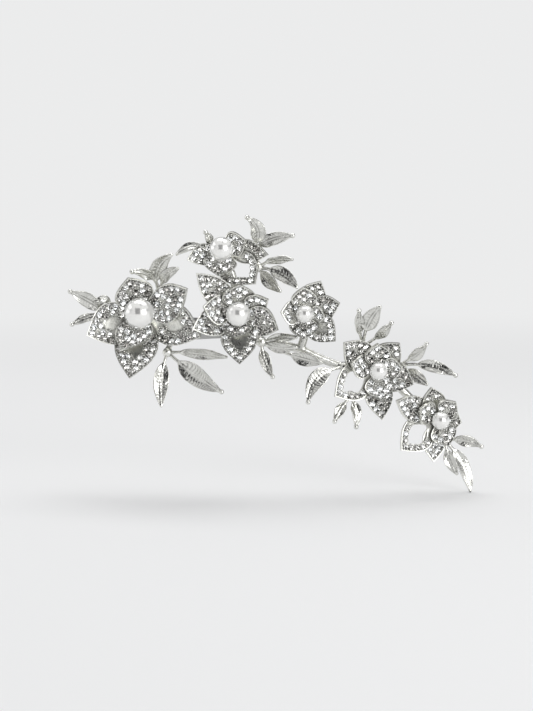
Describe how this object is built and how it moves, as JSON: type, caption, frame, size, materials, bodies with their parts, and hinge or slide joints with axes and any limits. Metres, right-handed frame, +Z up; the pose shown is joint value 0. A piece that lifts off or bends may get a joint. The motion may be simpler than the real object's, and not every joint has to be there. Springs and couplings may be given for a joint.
{
  "type": "rhinestone hair clip",
  "caption": "Sprung hair clip behind a spray of pearl-centred, stone-set flowers and cast leaves on a bent metal stem, for holding or dressing a lock of hair.",
  "frame": {"origin": "middle of the clip's mouth, on the gripping face of the fixed blade", "axes": "+X along the spray towards its tail, +Z up the spray, -Y the way the flowers face, +Y towards the head"},
  "size_m": [0.14, 0.0309, 0.0948],
  "materials": {
    "petal_plate": "bright rhodium plate on cast petals",
    "leaf_plate": "polished rhodium plate on cast leaves",
    "frame_plate": "polished plate on the stem and arms",
    "clip_steel": "nickel-plated spring steel",
    "crystal": "clear foiled glass, flat-backed and cut",
    "pearl": "pearlescent white coating"
  },
  "bodies": {
    "ornament": {"flower_a_outer_petals": "petal_plate", "flower_a_inner_petals": "petal_plate", "flower_a_stones": "crystal", "flower_a_pearl": "pearl", "flower_b_outer_petals": "petal_plate", "flower_b_inner_petals": "petal_plate", "flower_b_stones": "crystal", "flower_b_pearl": "pearl", "flower_c_outer_petals": "petal_plate", "flower_c_inner_petals": "petal_plate", "flower_c_stones": "crystal", "flower_c_pearl": "pearl", "flower_d_outer_petals": "petal_plate", "flower_d_inner_petals": "petal_plate", "flower_d_stones": "crystal", "flower_d_pearl": "pearl", "flower_e_outer_petals": "petal_plate", "flower_e_inner_petals": "petal_plate", "flower_e_stones": "crystal", "flower_e_pearl": "pearl", "flower_f_outer_petals": "petal_plate", "flower_f_inner_petals": "petal_plate", "flower_f_stones": "crystal", "flower_f_pearl": "pearl", "sprig_far_left": "leaf_plate", "sprig_upper_left": "leaf_plate", "sprig_top_left": "leaf_plate", "sprig_top": "leaf_plate", "sprig_top_right": "leaf_plate", "sprig_upper_tail": "leaf_plate", "sprig_right_tail": "leaf_plate", "sprig_tail_end": "leaf_plate", "sprig_lower_left": "leaf_plate", "sprig_lower_middle": "leaf_plate", "sprig_lower_right": "leaf_plate", "sprig_lower_tail": "leaf_plate", "back_frame": "frame_plate", "clip_fixed_blade": "clip_steel", "clip_hinge_pin": "clip_steel", "clip_spring": "clip_steel"},
    "jaw": {"clip_jaw": "clip_steel"}
  },
  "joints": [
    {"name": "jaw_open", "type": "hinge", "parent": "ornament", "child": "jaw", "pos_m": [-0.018, 0.003, 0], "axis": [0, 0, 1], "range_deg": [0, 28], "stiffness_Nm_per_rad": 0.05, "springref_deg": -22.92, "deforming": ["clip_spring"]}
  ]
}
